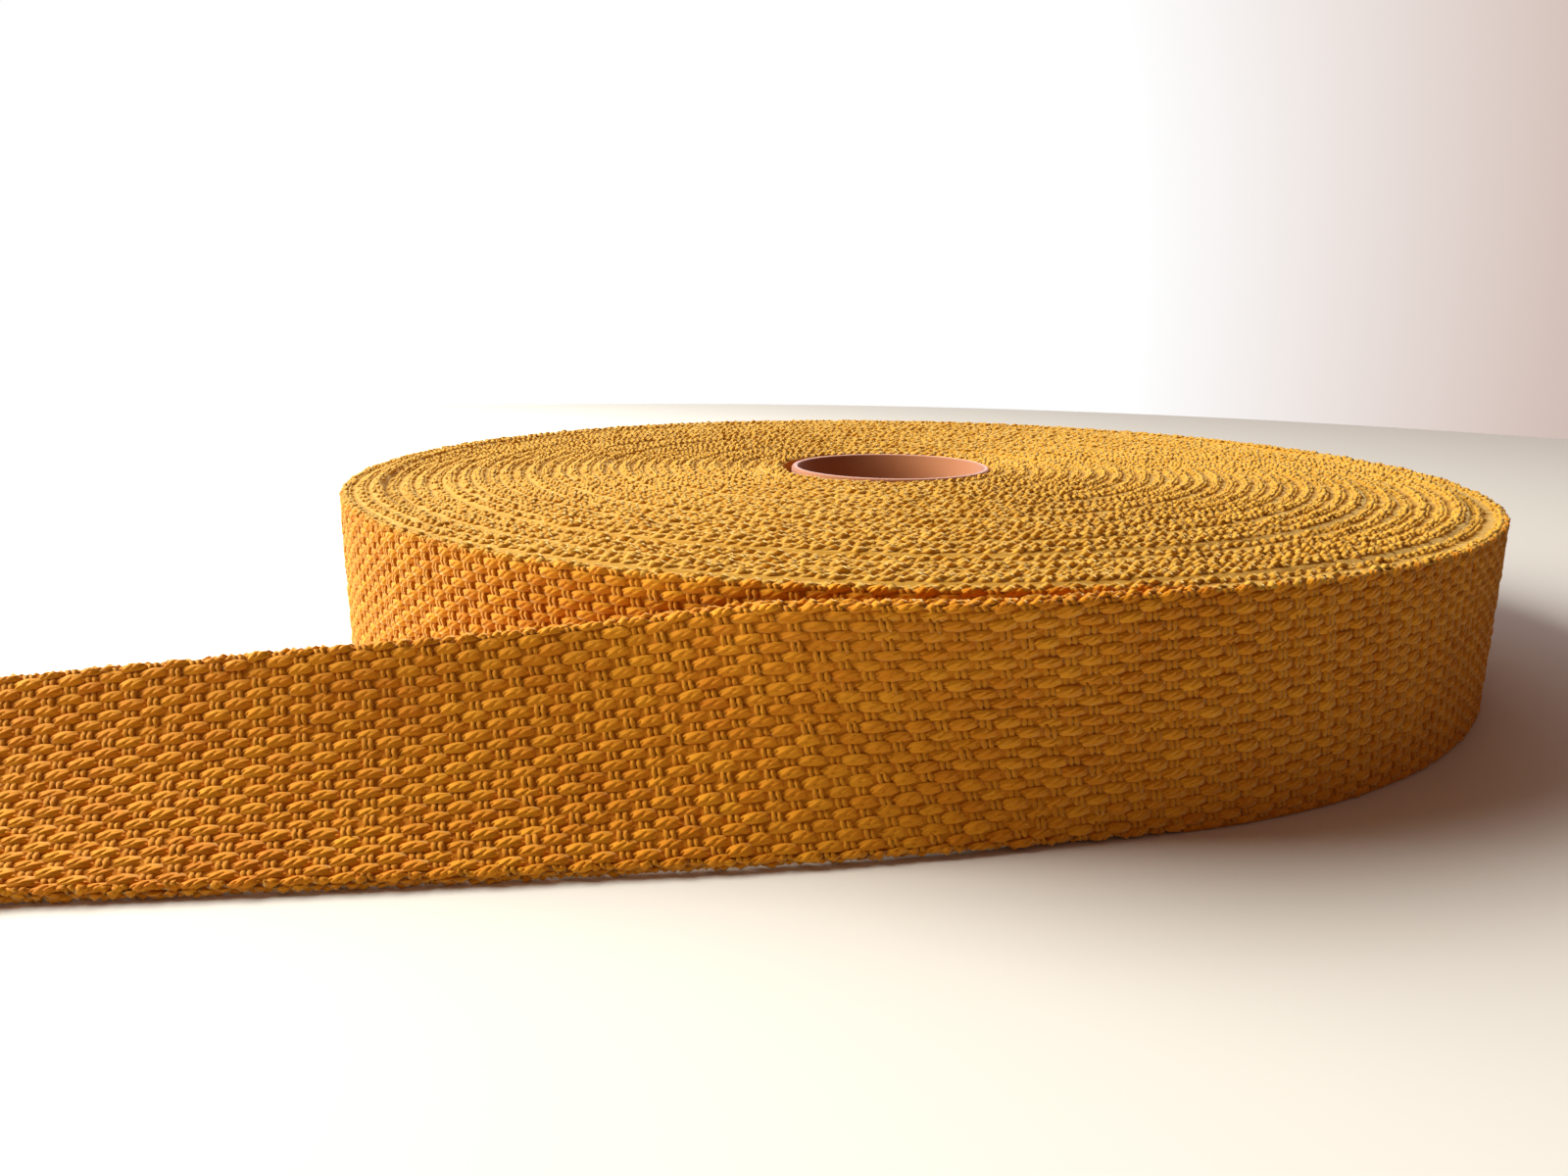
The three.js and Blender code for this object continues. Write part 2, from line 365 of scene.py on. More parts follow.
# %% Place points on the loose end
def between(table, i, j):
    """Values of a net of points between its rows i and its columns j."""
    i = np.clip(i, 0, table.shape[0] - 1.001)
    j = np.clip(j, 0, table.shape[1] - 1.001)
    i0, j0 = i.astype(int), j.astype(int)
    u, v = (i - i0)[:, None], (j - j0)[:, None]
    return ((table[i0, j0] * (1 - v) + table[i0, j0 + 1] * v) * (1 - u)
            + (table[i0 + 1, j0] * (1 - v) + table[i0 + 1, j0 + 1] * v) * u)


def peel(along, across, out):
    """Places points of the tape on the loose end."""
    i = (LOOSE_END[-1, 0] - along - stations[0]) / STATION
    j = (across / TAPE_WIDTH + 0.5) * (COLUMNS - 1)
    beyond = across - np.clip(across, -TAPE_WIDTH / 2, TAPE_WIDTH / 2)
    rise = between(middle, i, np.clip(j + 1, 0, COLUMNS)) - between(middle, i, np.clip(j - 1, 0, COLUMNS))
    rise /= np.linalg.norm(rise, axis=1, keepdims=True)
    return between(middle, i, j) + between(outward, i, j) * out[:, None] + rise * beyond[:, None]


# %% [markdown]
# The edges of the tape. The flat cloth is wider than the tape, by the way over both of its edges,
# so a yarn near a selvedge bends over it, as a real one does. The bend is squarer than a half
# circle, because the wound turns press the selvedges flat against each other.

# %% Place points of the flat cloth on the tape
EDGE_POWER = 4


def over_edge(face, out):
    past = np.clip(np.abs(face) - FLAT_HALF, 0, None) / HALF_THICKNESS
    squareness = (np.sin(past) ** EDGE_POWER + np.cos(past) ** EDGE_POWER) ** (-1 / EDGE_POWER)
    across = np.sign(face) * (np.minimum(np.abs(face), FLAT_HALF) + out * np.sin(past) * squareness)
    return across, out * np.cos(past) * squareness


def lay(flat, side=1):
    """Places flat cloth on the outer face of the tape, or with side=-1 on its inner face."""
    along, face, out = flat[:, 0], flat[:, 1], flat[:, 2]
    across, depth = over_edge(face, out)
    across, depth = across * side, depth * side
    placed = wind(along, across, depth)
    loose = along < LOOSE_LENGTH
    if loose.any():
        placed[loose] = peel(along[loose], across[loose], depth[loose])
    placed[:, 2] = np.maximum(placed[:, 2], FLOOR_GAP)
    return placed


print(f"the cloth is {2 * EDGE_REACH:.1f} mm wide over both edges")

# %% [markdown]
# Yarns. A float is a plump lozenge, high in the middle and diving at both ends, with four plies on
# it that climb to the right, because the yarn is twisted. A stitch is the pair of weft picks that
# shows between two floats of a row. A selvedge loop is one short slanted lozenge, and a cut yarn
# is three thin fibres. Round curves could make them, but each shape has only a few dozen flat
# faces here, because thousands of them are laid, and smooth shading rounds them off.

# %% Yarn shapes
SIDES = 4
PLUMPNESS = 0.7         # below 1 fills a strand out towards its tips
STRAND_SHIFT = 7.3      # moves the fibre pattern on from strand to strand


def lozenge(length, width, depth, rise, sink, slope, shift=(0.0, 0.0), rings=3):
    """Points, faces and yarn coordinates of one pointed strand that lies along X. The width and
    depth are halves. Its middle lies at the height rise and its tips at the height sink."""
    points, coords = [], []
    for ring in range(rings + 2):
        t = -1 + 2 * ring / (rings + 1)
        swell = max(1 - t * t, 0) ** PLUMPNESS
        centre = (shift[0] + t * length / 2, shift[1] + slope * t * length / 2,
                  sink + (rise - sink) * swell)
        corners = SIDES if 0 < ring < rings + 1 else 1
        for corner in range(corners):
            a = 2 * math.pi * (corner + 0.5) / SIDES - math.pi / 2
            points.append((centre[0], centre[1] + width * swell * math.cos(a),
                           centre[2] + depth * swell * math.sin(a)))
            coords.append((t * length / 2, a * (width + depth) / 2))
    faces = []
    last = len(points) - 1
    for corner in range(SIDES):
        after = (corner + 1) % SIDES
        faces.append((0, 1 + after, 1 + corner))
        for ring in range(rings - 1):
            low = 1 + ring * SIDES
            faces.append((low + corner, low + after, low + SIDES + after, low + SIDES + corner))
        low = 1 + (rings - 1) * SIDES
        faces.append((low + corner, low + after, last))
    return points, faces, coords


def bundle(name, strands):
    """Joins strands into one yarn, as an object that the weaving tree can lay."""
    points, faces, coords = [], [], []
    for number, (strand_points, strand_faces, strand_coords) in enumerate(strands):
        faces += [tuple(i + len(points) for i in face) for face in strand_faces]
        points += strand_points
        coords += [(u, v + STRAND_SHIFT * number) for u, v in strand_coords]
    return bpy.data.objects.new(name, plain_mesh(name, points, faces, coords))


# %% The yarns of the webbing
PLY_RISE = math.tan(math.radians(23))
YARN_RISE = math.tan(math.radians(6))
float_yarn = bundle("float yarn", [
    lozenge(3.9, 0.80, 0.42, 0.56, 0.12, YARN_RISE),
    lozenge(2.2, 0.22, 0.30, 0.54, 0.20, PLY_RISE, (-0.78, 0.27), rings=2),
    lozenge(2.8, 0.26, 0.33, 0.68, 0.25, PLY_RISE, (-0.28, 0.12)),
    lozenge(2.8, 0.26, 0.33, 0.67, 0.25, PLY_RISE, (0.22, -0.10)),
    lozenge(2.2, 0.22, 0.30, 0.52, 0.20, PLY_RISE, (0.70, -0.29), rings=2),
])
back_float_yarn = bundle("back float yarn", [
    lozenge(3.8, 0.74, 0.42, 0.54, 0.10, YARN_RISE),
    lozenge(2.4, 0.42, 0.34, 0.64, 0.20, PLY_RISE, (-0.35, 0.22)),
    lozenge(2.4, 0.42, 0.34, 0.64, 0.20, PLY_RISE, (0.35, -0.22)),
])
stitch_yarn = bundle("stitch yarn", [
    lozenge(2.6, 0.38, 0.34, 0.60, 0.54, 0.06, (0.0, 0.29), rings=1),
    lozenge(2.6, 0.38, 0.34, 0.60, 0.54, 0.06, (0.0, -0.29), rings=1),
])
stitch_yarn.data.transform(Matrix.Rotation(math.pi / 2, 4, "Z"))
edge_yarn = bundle("edge yarn", [lozenge(2.1, 0.54, 0.36, 0.64, 0.44, 0.28, rings=1)])
cut_yarn = bundle("cut yarn", [
    lozenge(2.0, 0.14, 0.14, 0.36, 0.20, 0.35, (0.0, 0.28), rings=1),
    lozenge(2.4, 0.16, 0.16, 0.30, 0.16, -0.10, (-0.3, 0.0), rings=1),
    lozenge(1.8, 0.14, 0.14, 0.24, 0.30, -0.40, (0.1, -0.28), rings=1),
])
print("faces of a float, a stitch, a selvedge loop, a cut yarn:",
      [len(o.data.polygons) for o in (float_yarn, stitch_yarn, edge_yarn, cut_yarn)])

# %% [markdown]
# Weaving. Yarns repeat in even rows, so a node tree sets them out: a grid of points, every other
# row moved on by half a repeat, one yarn on each point, with a little seeded unevenness in its
# place, turn and size. Two Array modifiers could repeat a yarn, but they can't make each copy a
# little different. The tree weaves flat cloth, which is then laid on the wound path.

# %% Points in even rows
def row_points(tree, given):
    """Adds the grid of points. Returns it with each point's row, the rows less one and the way on."""
    repeats_less = add_node(tree, "ShaderNodeMath", {0: given["Repeats"], 1: 1.0}, operation="SUBTRACT")
    rows_less = add_node(tree, "ShaderNodeMath", {0: given["Rows"], 1: 1.0}, operation="SUBTRACT")
    length = add_node(tree, "ShaderNodeMath", {0: repeats_less, 1: given["Repeat"]},
                      operation="MULTIPLY")
    width = add_node(tree, "ShaderNodeMath", {0: rows_less, 1: given["Row pitch"]},
                     operation="MULTIPLY")
    grid = add_node(tree, "GeometryNodeMeshGrid",
                    {"Size X": length, "Size Y": width, "Vertices X": given["Repeats"],
                     "Vertices Y": given["Rows"]})
    here = add_node(tree, "ShaderNodeSeparateXYZ", {0: add_node(tree, "GeometryNodeInputPosition")})
    half_width = add_node(tree, "ShaderNodeMath", {0: width, 1: 0.5}, operation="MULTIPLY")
    from_edge = add_node(tree, "ShaderNodeMath", {0: here.outputs["Y"], 1: half_width},
                         operation="ADD")
    row_share = add_node(tree, "ShaderNodeMath", {0: from_edge, 1: given["Row pitch"]},
                         operation="DIVIDE")
    row = add_node(tree, "ShaderNodeMath", {0: row_share}, operation="ROUND")
    odd = add_node(tree, "ShaderNodeMath", {0: row, 1: 2.0}, operation="MODULO")
    half_repeat = add_node(tree, "ShaderNodeMath", {0: given["Repeat"], 1: 0.5}, operation="MULTIPLY")
    half_on = add_node(tree, "ShaderNodeMath", {0: odd, 1: half_repeat}, operation="MULTIPLY")
    half_length = add_node(tree, "ShaderNodeMath", {0: length, 1: 0.5}, operation="MULTIPLY")
    start = add_node(tree, "ShaderNodeMath", {0: given["Start"], 1: half_length}, operation="ADD")
    onward = add_node(tree, "ShaderNodeMath", {0: start, 1: half_on}, operation="ADD")
    return grid, row, rows_less, add_node(tree, "ShaderNodeCombineXYZ", {"X": onward})


# %% Unevenness of the yarns
# least and most of a yarn's random place, turn and size, and what is added to the seed for each
SPREADS = {
    "place": ((-1.0, -0.5, -0.5), (1.0, 0.5, 0.5), 0.0),
    "turn": ((-0.4, -0.3, -0.6), (0.4, 0.3, 0.6), 11.0),
    "size": ((-0.7, -1.0, -0.8), (0.7, 0.8, 0.6), 23.0),
}
TONE_SEED = 37.0


def scatter(tree, given, spread, amount):
    """Adds a random vector of each yarn's own, times one of the tree's inputs."""
    least, most, seed_step = SPREADS[spread]
    seed = add_node(tree, "ShaderNodeMath", {0: given["Seed"], 1: seed_step}, operation="ADD")
    draw = add_node(tree, "FunctionNodeRandomValue", {0: least, 1: most, "Seed": seed},
                    data_type="FLOAT_VECTOR")
    return add_node(tree, "ShaderNodeVectorMath", {0: draw, "Scale": given[amount]}, operation="SCALE")


def edge_turn(tree, given, row, rows_less):
    """Adds the turn of the two outermost rows, whose yarns lean because they come round the edge."""
    twice = add_node(tree, "ShaderNodeMath", {0: row, 1: 2.0}, operation="MULTIPLY")
    off_middle = add_node(tree, "ShaderNodeMath", {0: twice, 1: rows_less}, operation="SUBTRACT")
    from_middle = add_node(tree, "ShaderNodeMath", {0: off_middle}, operation="ABSOLUTE")
    limit = add_node(tree, "ShaderNodeMath", {0: rows_less, 1: 1.0}, operation="SUBTRACT")
    outermost = add_node(tree, "ShaderNodeMath", {0: from_middle, 1: limit}, operation="GREATER_THAN")
    slant = add_node(tree, "ShaderNodeMath", {0: outermost, 1: given["Edge slant"]},
                     operation="MULTIPLY")
    return add_node(tree, "ShaderNodeCombineXYZ", {"Z": slant})


# %% Node tree that weaves flat rows of yarn
def weaving_tree():
    tree = bpy.data.node_groups.new("rows of yarn", "GeometryNodeTree")
    for name, kind in [("Start", "NodeSocketFloat"), ("Repeat", "NodeSocketFloat"),
                       ("Repeats", "NodeSocketInt"), ("Row pitch", "NodeSocketFloat"),
                       ("Rows", "NodeSocketInt"), ("Edge slant", "NodeSocketFloat"),
                       ("Wander", "NodeSocketFloat"), ("Unevenness", "NodeSocketFloat"),
                       ("Seed", "NodeSocketInt"), ("Yarn", "NodeSocketObject"),
                       ("Finish", "NodeSocketMaterial")]:
        tree.interface.new_socket(name, in_out="INPUT", socket_type=kind)
    tree.interface.new_socket("Cloth", in_out="OUTPUT", socket_type="NodeSocketGeometry")
    given = add_node(tree, "NodeGroupInput").outputs

    grid, row, rows_less, onward = row_points(tree, given)
    moved = add_node(tree, "ShaderNodeVectorMath",
                     {0: onward, 1: scatter(tree, given, "place", "Wander")}, operation="ADD")
    placed = add_node(tree, "GeometryNodeSetPosition", {"Geometry": grid, "Offset": moved})
    turned = add_node(tree, "ShaderNodeVectorMath",
                      {0: scatter(tree, given, "turn", "Unevenness"),
                       1: edge_turn(tree, given, row, rows_less)}, operation="ADD")
    size = add_node(tree, "ShaderNodeVectorMath",
                    {0: scatter(tree, given, "size", "Unevenness"), 1: (1.0, 1.0, 1.0)},
                    operation="ADD")
    yarn = add_node(tree, "GeometryNodeObjectInfo", {"Object": given["Yarn"], "As Instance": True})
    set_out = add_node(tree, "GeometryNodeInstanceOnPoints",
                       {"Points": placed, "Instance": yarn.outputs["Geometry"],
                        "Rotation": add_node(tree, "FunctionNodeEulerToRotation", {0: turned}),
                        "Scale": size})
    tone_seed = add_node(tree, "ShaderNodeMath", {0: given["Seed"], 1: TONE_SEED}, operation="ADD")
    tone = add_node(tree, "FunctionNodeRandomValue", {2: 0.0, 3: 1.0, "Seed": tone_seed},
                    data_type="FLOAT")
    toned = add_node(tree, "GeometryNodeStoreNamedAttribute",
                     {"Geometry": set_out, "Name": "tone", "Value": tone.outputs[1]},
                     data_type="FLOAT", domain="INSTANCE")
    real = add_node(tree, "GeometryNodeRealizeInstances", {0: toned})
    finished = add_node(tree, "GeometryNodeSetMaterial", {"Geometry": real, "Material": given["Finish"]})
    add_node(tree, "NodeGroupOutput", {0: finished})
    return tree


weaving = weaving_tree()
print("weaving tree has", len(weaving.nodes), "nodes")

# %% Weave flat cloth and lay it on the tape
def weave(name, values):
    """Runs the tree on an empty object and returns its flat cloth as a plain mesh."""
    holder = show("loom", bpy.data.meshes.new("loom"))
    loom = holder.modifiers.new("loom", "NODES")
    loom.node_group = weaving
    for socket in weaving.interface.items_tree:
        if socket.item_type == "SOCKET" and socket.in_out == "INPUT":
            loom[socket.identifier] = values[socket.name]
    bpy.context.view_layer.update()
    made = bpy.data.meshes.new_from_object(holder.evaluated_get(bpy.context.evaluated_depsgraph_get()))
    made.name = name
    bpy.data.objects.remove(holder)
    return made


def points_of(mesh):
    flat = np.zeros(len(mesh.vertices) * 3, np.float32)
    mesh.vertices.foreach_get("co", flat)
    return flat.reshape(-1, 3).astype(float) / MM


def put_back(mesh, points_mm):
    mesh.vertices.foreach_set("co", (points_mm * MM).astype(np.float32).ravel())
    mesh.update()


def woven(name, finish, yarn, start, end, seed, rows=ROWS, pitch=ROW_PITCH, repeat=REPEAT, centre=0.0,
          phase=0.0, edge_slant=0.2, wander=0.12, unevenness=0.12, lean=SKEW, earliest=0.0, side=1):
    """A piece of cloth made of one kind of yarn, from start to end along the tape."""
    first = math.ceil((start - phase) / repeat) * repeat + phase
    count = math.ceil((end - first) / repeat)
    mesh = weave(name, {"Start": first * MM, "Repeat": repeat * MM, "Repeats": count,
                        "Row pitch": pitch * MM, "Rows": rows, "Edge slant": edge_slant,
                        "Wander": wander * MM, "Unevenness": unevenness, "Seed": seed,
                        "Yarn": yarn, "Finish": finish})
    flat = points_of(mesh)
    flat[:, 1] += centre
    flat[:, 0] = np.maximum(flat[:, 0] - lean * flat[:, 1], earliest)
    put_back(mesh, lay(flat, side))
    mesh.shade_smooth()
    print(f"{name}: {len(mesh.polygons)} faces")
    return show(name, mesh)


# %% [markdown]
# Dyed cotton. Every yarn has the same kind of finish: a golden yellow that goes deep orange where
# the yarns shade each other, dull, with the pale haze of fine fibre ends that a sheen gives, and
# with fibres that run along the twist. The weft's copy is a little darker than the warp's. The copy
# on the ground under the yarns is darker too, as painted shade in the gaps between them, and the
# copy on the selvedges of the roll's top is paler and yellower, as painted light on the top. A
# woven pattern could be painted on the cloth, but the yarns are real shapes here, so the pattern
# is only the fibres. It uses the yarn's own coordinates in millimetres. The fibres are drawn
# 0.28 mm wide, many times coarser than real ones, because real fibres are finer than the picture
# can show.

# %% Cotton finish
FIBRE_WIDTH = 0.28
FIBRE_LENGTH = 6 * FIBRE_WIDTH
FIBRE_TURN = math.radians(12)
FIBRE_DEPTH = 0.1
PATCHES_IN_A_METRE = 90.0
TONE_RANGE = 90.0           # each yarn reads the noise at another depth, up to this far apart
# shares of the fibres, the yarn's own tone and the patches of dye in the colour
FIBRE_SHARE, TONE_SHARE, PATCH_SHARE = 0.5, 0.2, 0.4


def cotton(name, dark, light, strength=0.9, sheen=0.7):
    finish = new_finish(name, {
        "Roughness": 0.8, "Specular IOR Level": 0.18, "Sheen Weight": sheen, "Sheen Roughness": 0.35,
        "Sheen Tint": srgb("FFE8A8")})
    tree = finish.node_tree
    shader = tree.nodes["Principled BSDF"]
    tone = add_node(tree, "ShaderNodeAttribute", attribute_name="tone").outputs["Fac"]
    twisted = add_node(tree, "ShaderNodeMapping",
                       {"Vector": add_node(tree, "ShaderNodeUVMap", uv_map="yarn"),
                        "Rotation": (0, 0, FIBRE_TURN), "Scale": (FIBRE_LENGTH, FIBRE_WIDTH, 1.0)},
                       vector_type="TEXTURE")
    own_depth = add_node(tree, "ShaderNodeMath", {0: tone, 1: TONE_RANGE}, operation="MULTIPLY")
    own_place = add_node(tree, "ShaderNodeCombineXYZ", {"Z": own_depth})
    strand = add_node(tree, "ShaderNodeVectorMath", {0: twisted, 1: own_place}, operation="ADD")
    fibres = add_node(tree, "ShaderNodeTexNoise",
                      {"Vector": strand, "Scale": 1.0, "Detail": 2.0, "Roughness": 0.6}).outputs["Fac"]
    place = add_node(tree, "ShaderNodeTexCoord").outputs["Object"]
    patches = add_node(tree, "ShaderNodeTexNoise",
                       {"Vector": place, "Scale": PATCHES_IN_A_METRE, "Detail": 2.0}).outputs["Fac"]
    mix = add_node(tree, "ShaderNodeMath", {0: fibres, 1: FIBRE_SHARE}, operation="MULTIPLY")
    mix = add_node(tree, "ShaderNodeMath", {0: tone, 1: TONE_SHARE, 2: mix}, operation="MULTIPLY_ADD")
    mix = add_node(tree, "ShaderNodeMath", {0: patches, 1: PATCH_SHARE, 2: mix},
                   operation="MULTIPLY_ADD")
    ramp = add_node(tree, "ShaderNodeValToRGB", {"Fac": mix})
    for stop, position, colour in zip(ramp.color_ramp.elements, (0.3, 0.85), (dark, light)):
        stop.position = position
        stop.color = srgb(colour)
    tree.links.new(ramp.outputs["Color"], shader.inputs["Base Color"])
    bump = add_node(tree, "ShaderNodeBump",
                    {"Height": fibres, "Strength": strength, "Distance": FIBRE_DEPTH * MM})
    tree.links.new(bump.outputs["Normal"], shader.inputs["Normal"])
    return finish


warp_cotton = cotton("twisted cotton warp, golden yellow", "CA7408", "F0A824")
weft_cotton = cotton("cotton weft, golden yellow", "C07610", "DC941E")
# paler and yellower than the warp: painted light on the roll's top
painted_light_edge_cotton = cotton("cotton selvedge, painted paler yellow for light on top", "BE861A", "E2B04A", strength=0.4, sheen=0.8)
# darker than the warp: painted shade in the gaps between the yarns
painted_shade_ground_cotton = cotton("cotton ground under the yarns, painted darker as shade", "C47812", "DC9418")
print("cotton finishes:", [paint.name for paint in (warp_cotton, weft_cotton, painted_light_edge_cotton, painted_shade_ground_cotton)])

# %% [markdown]
# The loose end. Its cloth is one closed sheet, 198 mm of the tape, bent and cupped as the table
# says. A flat plane with a Solidify modifier would do as well, but the sheet's own outline, laid
# along the tape ring by ring, follows the cupping without a modifier. The yarns lie on it on both
# faces and along both edges, and at the cut end the ends of the warp yarns stand out a little,
# because nothing holds them there.

# %% Cloth of the loose end
ALONG_STEP = 2.0
SKIN = 0.5                  # the cloth's faces lie this far from its middle, under the yarns
CLOTH_EDGE = 11.62          # its edges lie under the selvedge loops
CLOTH_COLUMNS = [-11.2, -7.5, -3.7, 0, 3.7, 7.5, 11.2]
PROFILE = [(across, SKIN) for across in CLOTH_COLUMNS] + [(CLOTH_EDGE, 0.0)]
PROFILE += [(across, -SKIN) for across in reversed(CLOTH_COLUMNS)] + [(-CLOTH_EDGE, 0.0)]
SHARP = math.radians(50)


def ring_tube(rows, count):
    """Faces of a tube of rings, capped at both ends."""
    faces = []
    for row in range(rows - 1):
        for i in range(count):
            j = (i + 1) % count
            faces.append((row * count + i, (row + 1) * count + i, (row + 1) * count + j, row * count + j))
    faces.append(tuple(range(count)))
    faces.append(tuple(reversed(range((rows - 1) * count, rows * count))))
    return faces


def outward_faces(mesh):
    work = bmesh.new()
    work.from_mesh(mesh)
    bmesh.ops.recalc_face_normals(work, faces=work.faces)
    work.to_mesh(mesh)
    work.free()
    mesh.set_sharp_from_angle(angle=SHARP)
    return mesh


cloth_steps = np.append(np.arange(0, LOOSE_LENGTH - 0.5, ALONG_STEP), LOOSE_LENGTH)
points, coords = [], []
for along in cloth_steps:
    ring = np.array([(along, across, depth) for across, depth in PROFILE])
    points.append(peel(ring[:, 0], ring[:, 1], ring[:, 2]))
    coords += [(along, across) for across, _ in PROFILE]
loose_cloth = show("loose_end_cloth", outward_faces(plain_mesh(
    "loose_end_cloth", np.concatenate(points), ring_tube(len(cloth_steps), len(PROFILE)), coords)))
# the sheet shows only between the yarns; its darker cotton is painted shade there
loose_cloth.data.materials.append(painted_shade_ground_cotton)
print("cloth of the loose end:", len(loose_cloth.data.polygons), "faces")

# %% Yarns of the loose end
WEFT_ROWS = {"phase": REPEAT / 2, "edge_slant": 0}
EDGE_ROWS = {"rows": 3, "pitch": 0.8, "repeat": 1.5, "edge_slant": 0.0, "wander": 0.2,
             "unevenness": 0.25}
FRAY = 1.6                  # how far cut yarns stand out past the cut end
FRAY_ROWS = {"repeat": 0.7, "wander": 0.3, "unevenness": 0.5, "lean": 0.0, "earliest": -FRAY}
FRAY_END = 0.5
loose_yarns = [
    woven("loose_end_front", warp_cotton, float_yarn, 0, LOOSE_LENGTH, seed=2),
    woven("loose_end_back", warp_cotton, back_float_yarn, 0, LOOSE_LENGTH, seed=3, side=-1),
    woven("loose_end_front_weft", weft_cotton, stitch_yarn, 0, LOOSE_LENGTH, seed=4, **WEFT_ROWS),
    woven("loose_end_back_weft", weft_cotton, stitch_yarn, 0, LOOSE_LENGTH, seed=5, side=-1,
          **WEFT_ROWS),
    woven("loose_end_top_edge", warp_cotton, edge_yarn, 0, LOOSE_LENGTH, seed=6,
          centre=EDGE_REACH, **EDGE_ROWS),
    woven("loose_end_low_edge", warp_cotton, edge_yarn, 0, LOOSE_LENGTH, seed=7,
          centre=-EDGE_REACH, **EDGE_ROWS),
    woven("loose_end_fray", warp_cotton, cut_yarn, 0, FRAY_END, seed=8, **FRAY_ROWS),
    woven("loose_end_back_fray", warp_cotton, cut_yarn, 0, FRAY_END, seed=9, side=-1, **FRAY_ROWS),
]

# %% [markdown]
# The roll. Under its yarns lies one closed solid, wound as a spiral: each turn shows on the top
# and the underside as a low rounded ridge, and the outermost turn carries the wall. Each turn
# could be a tape of its own, but only its edges show, so one skin over all the edges does. Nearly
# all of it is hidden: it closes the gaps between the yarns. Its sides wear the darker ground
# cotton, painted shade in those gaps, and its ridges the paler selvedge cotton, painted light.

# %% Rings of the wound body
STEPS = 120                 # points round one turn
LAST = int(TURNS * STEPS)
RIDGE_TOP = 11.66
RIDGE_SIDE = 11.62
RIDGE_HALF = 0.60
RIDGE = [(RIDGE_HALF, RIDGE_SIDE), (0.0, RIDGE_TOP), (-RIDGE_HALF, RIDGE_SIDE)]
SHELF = 12.15               # how far the underside's ridges lie below the middle of the tape
VALLEY = 11.6
LOW_VALLEY = 0.6 - SHELF
BORE_OUT = -0.9             # the bore's wall, from the middle of the innermost turn
PATTERN_OVER_RIDGE = 3      # spreads the fibre pattern over the narrow ridge

body_points, body_coords = [], []


def ring_points(turn_steps, out, across):
    """Adds a line of points along the spiral and returns the number of its first one."""
    turned = np.asarray(turn_steps) / STEPS
    along = LOOSE_LENGTH + np.interp(turned, turned_steps, arc_steps)
    first = len(body_points)
    blank = np.zeros(len(turned))
    body_points.extend(wind(along, blank + across, blank + out).tolist())
    body_coords.extend(zip(along.tolist(), (blank + across + PATTERN_OVER_RIDGE * out).tolist()))
    return first


everywhere = np.arange(LAST + 1)
wall_part = np.where(everywhere < STEPS, SKIN, HALF_THICKNESS)
top_rows = [ring_points(everywhere, wall_part, VALLEY)]
top_rows += [ring_points(everywhere, out, across) for out, across in RIDGE]
low_rows = [ring_points(everywhere, wall_part, LOW_VALLEY)]
low_rows += [ring_points(everywhere, out, RIDGE_TOP - across - SHELF) for out, across in RIDGE]
innermost = np.arange(LAST - STEPS + 1, LAST + 1)
bore_top = ring_points(innermost, BORE_OUT, VALLEY)
bore_low = ring_points(innermost, BORE_OUT, LOW_VALLEY)
print("points of the wound body:", len(body_points))

# %% Faces of the wound body
def inner_edge(rows, bore, k):
    """The point inwards of step k: on the next turn, or on the bore inside the innermost turn."""
    return rows[0] + k + STEPS if k <= LAST - STEPS else bore + k - (LAST - STEPS + 1)


body_faces = []
for k in range(LAST):
    for rows, bore, flip in ((top_rows, bore_top, False), (low_rows, bore_low, True)):
        near = [row + k for row in rows] + [inner_edge(rows, bore, k)]
        far = [row + k + 1 for row in rows] + [inner_edge(rows, bore, k + 1)]
        for i in range(len(near) - 1):
            quad = (near[i], far[i], far[i + 1], near[i + 1])
            body_faces.append(quad[::-1] if flip else quad)
for k in range(STEPS):
    body_faces.append((low_rows[0] + k, low_rows[0] + k + 1, top_rows[0] + k + 1, top_rows[0] + k))
for k in range(LAST - STEPS, LAST):
    body_faces.append((inner_edge(top_rows, bore_top, k), inner_edge(top_rows, bore_top, k + 1),
                       inner_edge(low_rows, bore_low, k + 1), inner_edge(low_rows, bore_low, k)))
for k, flip in ((0, False), (LAST, True)):
    cap = [row + k for row in top_rows]
    cap += [inner_edge(top_rows, bore_top, k), inner_edge(low_rows, bore_low, k)]
    cap += [row + k for row in reversed(low_rows)]
    body_faces.append(tuple(reversed(cap)) if flip else tuple(cap))

FACING_UP = 0.4             # a face that looks up or down more than this is on the ridges
roll_body = show("roll_body", outward_faces(plain_mesh("roll_body", body_points, body_faces, body_coords)))
roll_body.data.materials.append(painted_shade_ground_cotton)
roll_body.data.materials.append(painted_light_edge_cotton)
# faces that look up or down get the paler selvedge cotton, painted light; the rest get the darker ground
# cotton, painted shade
for face in roll_body.data.polygons:
    face.material_index = int(abs(face.normal.z) > FACING_UP)
print("roll body faces:", len(roll_body.data.polygons))

# %% [markdown]
# The yarns of the wall are the same weave as on the loose end, laid once round the roll. The back
# could have the same floats, but floats with fewer plies do there, because no camera comes near.
# On top, only the selvedge of each turn shows: three rows of short loops, side by side, that
# follow the spiral to the core.

# %% Yarns of the roll
def at_turn(degrees):
    """Distance along the tape of a point this far round the roll from where the loose end leaves."""
    return LOOSE_LENGTH + arc_steps[degrees]


